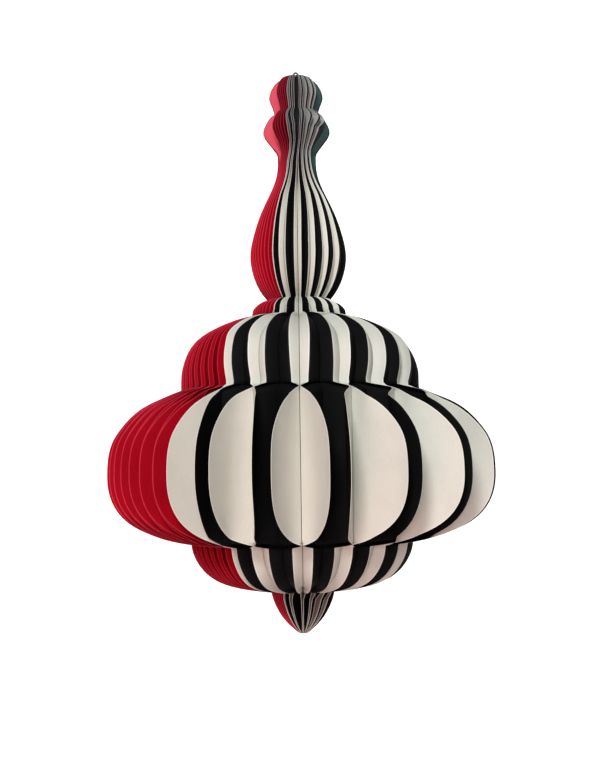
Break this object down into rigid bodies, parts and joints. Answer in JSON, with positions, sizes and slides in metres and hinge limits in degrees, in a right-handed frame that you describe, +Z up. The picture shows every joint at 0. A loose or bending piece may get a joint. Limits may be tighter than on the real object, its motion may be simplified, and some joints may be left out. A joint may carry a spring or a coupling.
{
  "type": "accordion paper lantern",
  "caption": "Fold-out card lantern with a turned finial, stacked tiers and a wide pleated belly; its pages fan round a spine and close flat.",
  "frame": {"origin": "middle of the hanging eye's hole, on the lantern's vertical axis", "axes": "+Z up along the spine, front of the lantern towards -Y, red sheets on the left (-X)"},
  "size_m": [0.3854, 0.3844, 0.5629],
  "materials": {
    "red_card": "matt uncoated red card",
    "white_card": "matt uncoated off-white card",
    "black_card": "matt uncoated black card",
    "stem_card": "rolled grey-brown card",
    "magnet_steel": "nickel-plated disc magnets",
    "eye_steel": "dark stamped steel"
  },
  "bodies": {
    "spine": {"spine_stem": "stem_card", "hanging_eye": "eye_steel"},
    "right_cover": {"right_cover_board": "red_card", "right_cover_magnets": "magnet_steel"},
    "right_page_01": {"right_page_01_white_black": "white_card"},
    "right_page_02": {"right_page_02_black_white": "black_card"},
    "right_page_03": {"right_page_03_white_black": "white_card"},
    "right_page_04": {"right_page_04_black_white": "black_card"},
    "right_page_05": {"right_page_05_white_black": "white_card"},
    "right_page_06": {"right_page_06_black_white": "black_card"},
    "right_page_07": {"right_page_07_white_black": "white_card"},
    "right_page_08": {"right_page_08_black_red": "black_card"},
    "right_page_09": {"right_page_09_red": "red_card"},
    "right_page_10": {"right_page_10_red": "red_card"},
    "right_page_11": {"right_page_11_red": "red_card"},
    "right_page_12": {"right_page_12_red": "red_card"},
    "right_page_13": {"right_page_13_red": "red_card"},
    "right_page_14": {"right_page_14_red": "red_card"},
    "right_page_15": {"right_page_15_red": "red_card"},
    "right_page_16": {"right_page_16_red": "red_card"},
    "right_page_17": {"right_page_17_red": "red_card"},
    "right_page_18": {"right_page_18_red": "red_card"},
    "right_page_19": {"right_page_19_red": "red_card"},
    "right_page_20": {"right_page_20_red": "red_card"},
    "right_page_21": {"right_page_21_red": "red_card"},
    "right_page_22": {"right_page_22_red": "red_card"},
    "right_page_23": {"right_page_23_red": "red_card"},
    "right_page_24": {"right_page_24_red": "red_card"},
    "left_cover": {"left_cover_board": "red_card", "left_cover_magnets": "magnet_steel"},
    "left_page_01": {"left_page_01_black_white": "black_card"},
    "left_page_02": {"left_page_02_white_black": "white_card"},
    "left_page_03": {"left_page_03_black_white": "black_card"},
    "left_page_04": {"left_page_04_white_black": "white_card"},
    "left_page_05": {"left_page_05_red_white": "red_card"},
    "left_page_06": {"left_page_06_red": "red_card"},
    "left_page_07": {"left_page_07_red": "red_card"},
    "left_page_08": {"left_page_08_red": "red_card"},
    "left_page_09": {"left_page_09_red": "red_card"},
    "left_page_10": {"left_page_10_red": "red_card"},
    "left_page_11": {"left_page_11_red": "red_card"},
    "left_page_12": {"left_page_12_red": "red_card"},
    "left_page_13": {"left_page_13_red": "red_card"},
    "left_page_14": {"left_page_14_red": "red_card"},
    "left_page_15": {"left_page_15_red": "red_card"},
    "left_page_16": {"left_page_16_red": "red_card"},
    "left_page_17": {"left_page_17_red": "red_card"},
    "left_page_18": {"left_page_18_red": "red_card"},
    "left_page_19": {"left_page_19_red": "red_card"},
    "left_page_20": {"left_page_20_red": "red_card"},
    "left_page_21": {"left_page_21_red": "red_card"},
    "left_page_22": {"left_page_22_red": "red_card"},
    "left_page_23": {"left_page_23_red": "red_card"},
    "left_page_24": {"left_page_24_red": "red_card"},
    "left_page_25": {"left_page_25_red": "red_card"},
    "left_page_26": {"left_page_26_red": "red_card"},
    "left_page_27": {"left_page_27_red": "red_card"},
    "left_page_28": {"left_page_28_red": "red_card"}
  },
  "joints": [
    {"name": "fan_fold", "type": "hinge", "parent": "spine", "child": "right_cover", "pos_m": [0.00736, 0, -0.28], "axis": [0, 0, -1], "range_deg": [0, 180]},
    {"name": "right_page_01_fold", "type": "hinge", "parent": "spine", "child": "right_page_01", "pos_m": [0.00014, -0.00267, -0.28], "axis": [0, 0, -1], "range_deg": [0, 6.01]},
    {"name": "right_page_02_fold", "type": "hinge", "parent": "spine", "child": "right_page_02", "pos_m": [0.00042, -0.00363, -0.28], "axis": [0, 0, -1], "range_deg": [0, 13.21]},
    {"name": "right_page_03_fold", "type": "hinge", "parent": "spine", "child": "right_page_03", "pos_m": [0.0007, -0.00306, -0.28], "axis": [0, 0, -1], "range_deg": [0, 25.81]},
    {"name": "right_page_04_fold", "type": "hinge", "parent": "spine", "child": "right_page_04", "pos_m": [0.00098, -0.00336, -0.28], "axis": [0, 0, -1], "range_deg": [0, 32.51]},
    {"name": "right_page_05_fold", "type": "hinge", "parent": "spine", "child": "right_page_05", "pos_m": [0.00126, -0.00298, -0.28], "axis": [0, 0, -1], "range_deg": [0, 45.81]},
    {"name": "right_page_06_fold", "type": "hinge", "parent": "spine", "child": "right_page_06", "pos_m": [0.00154, -0.00311, -0.28], "axis": [0, 0, -1], "range_deg": [0, 52.71]},
    {"name": "right_page_07_fold", "type": "hinge", "parent": "spine", "child": "right_page_07", "pos_m": [0.00182, -0.00272, -0.28], "axis": [0, 0, -1], "range_deg": [0, 67.61]},
    {"name": "right_page_08_fold", "type": "hinge", "parent": "spine", "child": "right_page_08", "pos_m": [0.0021, -0.00257, -0.28], "axis": [0, 0, -1], "range_deg": [0, 78.51]},
    {"name": "right_page_09_fold", "type": "hinge", "parent": "spine", "child": "right_page_09", "pos_m": [0.00238, -0.00263, -0.28], "axis": [0, 0, -1], "range_deg": [0, 84.35]},
    {"name": "right_page_10_fold", "type": "hinge", "parent": "spine", "child": "right_page_10", "pos_m": [0.00266, -0.00265, -0.28], "axis": [0, 0, -1], "range_deg": [0, 90.2]},
    {"name": "right_page_11_fold", "type": "hinge", "parent": "spine", "child": "right_page_11", "pos_m": [0.00294, -0.00265, -0.28], "axis": [0, 0, -1], "range_deg": [0, 96.04]},
    {"name": "right_page_12_fold", "type": "hinge", "parent": "spine", "child": "right_page_12", "pos_m": [0.00322, -0.00261, -0.28], "axis": [0, 0, -1], "range_deg": [0, 101.89]},
    {"name": "right_page_13_fold", "type": "hinge", "parent": "spine", "child": "right_page_13", "pos_m": [0.0035, -0.00256, -0.28], "axis": [0, 0, -1], "range_deg": [0, 107.73]},
    {"name": "right_page_14_fold", "type": "hinge", "parent": "spine", "child": "right_page_14", "pos_m": [0.00378, -0.00248, -0.28], "axis": [0, 0, -1], "range_deg": [0, 113.57]},
    {"name": "right_page_15_fold", "type": "hinge", "parent": "spine", "child": "right_page_15", "pos_m": [0.00406, -0.00237, -0.28], "axis": [0, 0, -1], "range_deg": [0, 119.42]},
    {"name": "right_page_16_fold", "type": "hinge", "parent": "spine", "child": "right_page_16", "pos_m": [0.00434, -0.00225, -0.28], "axis": [0, 0, -1], "range_deg": [0, 125.26]},
    {"name": "right_page_17_fold", "type": "hinge", "parent": "spine", "child": "right_page_17", "pos_m": [0.00462, -0.0021, -0.28], "axis": [0, 0, -1], "range_deg": [0, 131.1]},
    {"name": "right_page_18_fold", "type": "hinge", "parent": "spine", "child": "right_page_18", "pos_m": [0.0049, -0.00193, -0.28], "axis": [0, 0, -1], "range_deg": [0, 136.95]},
    {"name": "right_page_19_fold", "type": "hinge", "parent": "spine", "child": "right_page_19", "pos_m": [0.00518, -0.00174, -0.28], "axis": [0, 0, -1], "range_deg": [0, 142.79]},
    {"name": "right_page_20_fold", "type": "hinge", "parent": "spine", "child": "right_page_20", "pos_m": [0.00546, -0.00153, -0.28], "axis": [0, 0, -1], "range_deg": [0, 148.63]},
    {"name": "right_page_21_fold", "type": "hinge", "parent": "spine", "child": "right_page_21", "pos_m": [0.00574, -0.0013, -0.28], "axis": [0, 0, -1], "range_deg": [0, 154.48]},
    {"name": "right_page_22_fold", "type": "hinge", "parent": "spine", "child": "right_page_22", "pos_m": [0.00602, -0.00104, -0.28], "axis": [0, 0, -1], "range_deg": [0, 160.32]},
    {"name": "right_page_23_fold", "type": "hinge", "parent": "spine", "child": "right_page_23", "pos_m": [0.0063, -0.00076, -0.28], "axis": [0, 0, -1], "range_deg": [0, 166.17]},
    {"name": "right_page_24_fold", "type": "hinge", "parent": "spine", "child": "right_page_24", "pos_m": [0.00658, -0.00046, -0.28], "axis": [0, 0, -1], "range_deg": [0, 172.01]},
    {"name": "left_cover_fold", "type": "hinge", "parent": "spine", "child": "left_cover", "pos_m": [-0.00848, 0, -0.28], "axis": [0, 0, 1], "range_deg": [0, 180]},
    {"name": "left_page_01_fold", "type": "hinge", "parent": "spine", "child": "left_page_01", "pos_m": [-0.00014, -0.00276, -0.28], "axis": [0, 0, 1], "range_deg": [0, 5.81]},
    {"name": "left_page_02_fold", "type": "hinge", "parent": "spine", "child": "left_page_02", "pos_m": [-0.00042, -0.00377, -0.28], "axis": [0, 0, 1], "range_deg": [0, 12.71]},
    {"name": "left_page_03_fold", "type": "hinge", "parent": "spine", "child": "left_page_03", "pos_m": [-0.0007, -0.00344, -0.28], "axis": [0, 0, 1], "range_deg": [0, 23.01]},
    {"name": "left_page_04_fold", "type": "hinge", "parent": "spine", "child": "left_page_04", "pos_m": [-0.00098, -0.00379, -0.28], "axis": [0, 0, 1], "range_deg": [0, 29.01]},
    {"name": "left_page_05_fold", "type": "hinge", "parent": "spine", "child": "left_page_05", "pos_m": [-0.00126, -0.00388, -0.28], "axis": [0, 0, 1], "range_deg": [0, 36.01]},
    {"name": "left_page_06_fold", "type": "hinge", "parent": "spine", "child": "left_page_06", "pos_m": [-0.00154, -0.00402, -0.28], "axis": [0, 0, 1], "range_deg": [0, 41.92]},
    {"name": "left_page_07_fold", "type": "hinge", "parent": "spine", "child": "left_page_07", "pos_m": [-0.00182, -0.0041, -0.28], "axis": [0, 0, 1], "range_deg": [0, 47.84]},
    {"name": "left_page_08_fold", "type": "hinge", "parent": "spine", "child": "left_page_08", "pos_m": [-0.0021, -0.00414, -0.28], "axis": [0, 0, 1], "range_deg": [0, 53.75]},
    {"name": "left_page_09_fold", "type": "hinge", "parent": "spine", "child": "left_page_09", "pos_m": [-0.00238, -0.00415, -0.28], "axis": [0, 0, 1], "range_deg": [0, 59.66]},
    {"name": "left_page_10_fold", "type": "hinge", "parent": "spine", "child": "left_page_10", "pos_m": [-0.00266, -0.00413, -0.28], "axis": [0, 0, 1], "range_deg": [0, 65.58]},
    {"name": "left_page_11_fold", "type": "hinge", "parent": "spine", "child": "left_page_11", "pos_m": [-0.00294, -0.00409, -0.28], "axis": [0, 0, 1], "range_deg": [0, 71.49]},
    {"name": "left_page_12_fold", "type": "hinge", "parent": "spine", "child": "left_page_12", "pos_m": [-0.00322, -0.00402, -0.28], "axis": [0, 0, 1], "range_deg": [0, 77.4]},
    {"name": "left_page_13_fold", "type": "hinge", "parent": "spine", "child": "left_page_13", "pos_m": [-0.0035, -0.00393, -0.28], "axis": [0, 0, 1], "range_deg": [0, 83.31]},
    {"name": "left_page_14_fold", "type": "hinge", "parent": "spine", "child": "left_page_14", "pos_m": [-0.00378, -0.00383, -0.28], "axis": [0, 0, 1], "range_deg": [0, 89.23]},
    {"name": "left_page_15_fold", "type": "hinge", "parent": "spine", "child": "left_page_15", "pos_m": [-0.00406, -0.00371, -0.28], "axis": [0, 0, 1], "range_deg": [0, 95.14]},
    {"name": "left_page_16_fold", "type": "hinge", "parent": "spine", "child": "left_page_16", "pos_m": [-0.00434, -0.00357, -0.28], "axis": [0, 0, 1], "range_deg": [0, 101.05]},
    {"name": "left_page_17_fold", "type": "hinge", "parent": "spine", "child": "left_page_17", "pos_m": [-0.00462, -0.00342, -0.28], "axis": [0, 0, 1], "range_deg": [0, 106.97]},
    {"name": "left_page_18_fold", "type": "hinge", "parent": "spine", "child": "left_page_18", "pos_m": [-0.0049, -0.00325, -0.28], "axis": [0, 0, 1], "range_deg": [0, 112.88]},
    {"name": "left_page_19_fold", "type": "hinge", "parent": "spine", "child": "left_page_19", "pos_m": [-0.00518, -0.00306, -0.28], "axis": [0, 0, 1], "range_deg": [0, 118.79]},
    {"name": "left_page_20_fold", "type": "hinge", "parent": "spine", "child": "left_page_20", "pos_m": [-0.00546, -0.00286, -0.28], "axis": [0, 0, 1], "range_deg": [0, 124.71]},
    {"name": "left_page_21_fold", "type": "hinge", "parent": "spine", "child": "left_page_21", "pos_m": [-0.00574, -0.00264, -0.28], "axis": [0, 0, 1], "range_deg": [0, 130.62]},
    {"name": "left_page_22_fold", "type": "hinge", "parent": "spine", "child": "left_page_22", "pos_m": [-0.00602, -0.0024, -0.28], "axis": [0, 0, 1], "range_deg": [0, 136.53]},
    {"name": "left_page_23_fold", "type": "hinge", "parent": "spine", "child": "left_page_23", "pos_m": [-0.0063, -0.00214, -0.28], "axis": [0, 0, 1], "range_deg": [0, 142.44]},
    {"name": "left_page_24_fold", "type": "hinge", "parent": "spine", "child": "left_page_24", "pos_m": [-0.00658, -0.00187, -0.28], "axis": [0, 0, 1], "range_deg": [0, 148.36]},
    {"name": "left_page_25_fold", "type": "hinge", "parent": "spine", "child": "left_page_25", "pos_m": [-0.00686, -0.00157, -0.28], "axis": [0, 0, 1], "range_deg": [0, 154.27]},
    {"name": "left_page_26_fold", "type": "hinge", "parent": "spine", "child": "left_page_26", "pos_m": [-0.00714, -0.00125, -0.28], "axis": [0, 0, 1], "range_deg": [0, 160.18]},
    {"name": "left_page_27_fold", "type": "hinge", "parent": "spine", "child": "left_page_27", "pos_m": [-0.00742, -0.00091, -0.28], "axis": [0, 0, 1], "range_deg": [0, 166.1]},
    {"name": "left_page_28_fold", "type": "hinge", "parent": "spine", "child": "left_page_28", "pos_m": [-0.0077, -0.00054, -0.28], "axis": [0, 0, 1], "range_deg": [0, 172.01]}
  ],
  "couplings": [
    {"joint": "right_page_01_fold", "follows": "fan_fold", "ratio": 0.033333},
    {"joint": "right_page_02_fold", "follows": "fan_fold", "ratio": 0.073333},
    {"joint": "right_page_03_fold", "follows": "fan_fold", "ratio": 0.14333},
    {"joint": "right_page_04_fold", "follows": "fan_fold", "ratio": 0.18056},
    {"joint": "right_page_05_fold", "follows": "fan_fold", "ratio": 0.25444},
    {"joint": "right_page_06_fold", "follows": "fan_fold", "ratio": 0.29278},
    {"joint": "right_page_07_fold", "follows": "fan_fold", "ratio": 0.37556},
    {"joint": "right_page_08_fold", "follows": "fan_fold", "ratio": 0.43611},
    {"joint": "right_page_09_fold", "follows": "fan_fold", "ratio": 0.46858},
    {"joint": "right_page_10_fold", "follows": "fan_fold", "ratio": 0.50104},
    {"joint": "right_page_11_fold", "follows": "fan_fold", "ratio": 0.53351},
    {"joint": "right_page_12_fold", "follows": "fan_fold", "ratio": 0.56597},
    {"joint": "right_page_13_fold", "follows": "fan_fold", "ratio": 0.59844},
    {"joint": "right_page_14_fold", "follows": "fan_fold", "ratio": 0.6309},
    {"joint": "right_page_15_fold", "follows": "fan_fold", "ratio": 0.66337},
    {"joint": "right_page_16_fold", "follows": "fan_fold", "ratio": 0.69583},
    {"joint": "right_page_17_fold", "follows": "fan_fold", "ratio": 0.7283},
    {"joint": "right_page_18_fold", "follows": "fan_fold", "ratio": 0.76076},
    {"joint": "right_page_19_fold", "follows": "fan_fold", "ratio": 0.79323},
    {"joint": "right_page_20_fold", "follows": "fan_fold", "ratio": 0.82569},
    {"joint": "right_page_21_fold", "follows": "fan_fold", "ratio": 0.85816},
    {"joint": "right_page_22_fold", "follows": "fan_fold", "ratio": 0.89062},
    {"joint": "right_page_23_fold", "follows": "fan_fold", "ratio": 0.92309},
    {"joint": "right_page_24_fold", "follows": "fan_fold", "ratio": 0.95556},
    {"joint": "left_cover_fold", "follows": "fan_fold", "ratio": 1},
    {"joint": "left_page_01_fold", "follows": "fan_fold", "ratio": 0.032222},
    {"joint": "left_page_02_fold", "follows": "fan_fold", "ratio": 0.070556},
    {"joint": "left_page_03_fold", "follows": "fan_fold", "ratio": 0.12778},
    {"joint": "left_page_04_fold", "follows": "fan_fold", "ratio": 0.16111},
    {"joint": "left_page_05_fold", "follows": "fan_fold", "ratio": 0.2},
    {"joint": "left_page_06_fold", "follows": "fan_fold", "ratio": 0.23285},
    {"joint": "left_page_07_fold", "follows": "fan_fold", "ratio": 0.2657},
    {"joint": "left_page_08_fold", "follows": "fan_fold", "ratio": 0.29855},
    {"joint": "left_page_09_fold", "follows": "fan_fold", "ratio": 0.3314},
    {"joint": "left_page_10_fold", "follows": "fan_fold", "ratio": 0.36425},
    {"joint": "left_page_11_fold", "follows": "fan_fold", "ratio": 0.3971},
    {"joint": "left_page_12_fold", "follows": "fan_fold", "ratio": 0.42995},
    {"joint": "left_page_13_fold", "follows": "fan_fold", "ratio": 0.4628},
    {"joint": "left_page_14_fold", "follows": "fan_fold", "ratio": 0.49565},
    {"joint": "left_page_15_fold", "follows": "fan_fold", "ratio": 0.5285},
    {"joint": "left_page_16_fold", "follows": "fan_fold", "ratio": 0.56135},
    {"joint": "left_page_17_fold", "follows": "fan_fold", "ratio": 0.5942},
    {"joint": "left_page_18_fold", "follows": "fan_fold", "ratio": 0.62705},
    {"joint": "left_page_19_fold", "follows": "fan_fold", "ratio": 0.6599},
    {"joint": "left_page_20_fold", "follows": "fan_fold", "ratio": 0.69275},
    {"joint": "left_page_21_fold", "follows": "fan_fold", "ratio": 0.7256},
    {"joint": "left_page_22_fold", "follows": "fan_fold", "ratio": 0.75845},
    {"joint": "left_page_23_fold", "follows": "fan_fold", "ratio": 0.7913},
    {"joint": "left_page_24_fold", "follows": "fan_fold", "ratio": 0.82415},
    {"joint": "left_page_25_fold", "follows": "fan_fold", "ratio": 0.857},
    {"joint": "left_page_26_fold", "follows": "fan_fold", "ratio": 0.88986},
    {"joint": "left_page_27_fold", "follows": "fan_fold", "ratio": 0.92271},
    {"joint": "left_page_28_fold", "follows": "fan_fold", "ratio": 0.95556}
  ]
}
